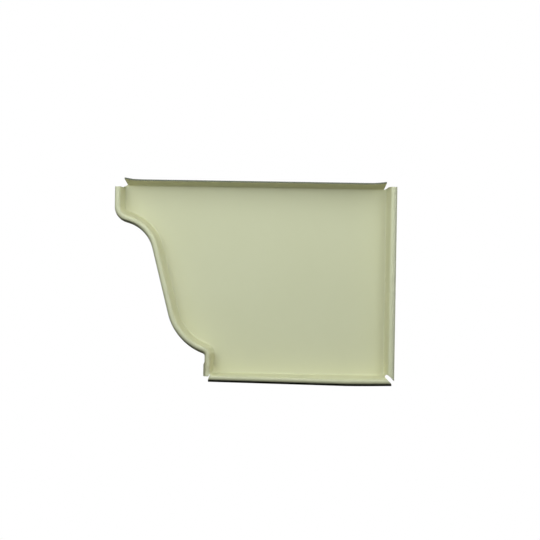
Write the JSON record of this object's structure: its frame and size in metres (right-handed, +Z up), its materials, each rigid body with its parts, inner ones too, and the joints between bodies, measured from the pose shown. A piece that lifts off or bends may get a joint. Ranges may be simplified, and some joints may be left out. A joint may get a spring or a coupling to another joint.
{
  "type": "gutter end cap",
  "caption": "Folded sheet end cap for an ogee gutter: recessed panel, channel rim that takes the gutter's cut end, flange along the top.",
  "frame": {"origin": "the gutter's back bottom corner, outside, in the plane where its cut end seats in the folded rim", "axes": "+X towards the gutter's back, +Y into the gutter, +Z up"},
  "size_m": [0.1296, 0.0106, 0.0926],
  "materials": {
    "painted_sheet": "smooth satin cream enamel on aluminium sheet"
  },
  "bodies": {
    "root": {"end_cap": "painted_sheet"}
  },
  "joints": []
}
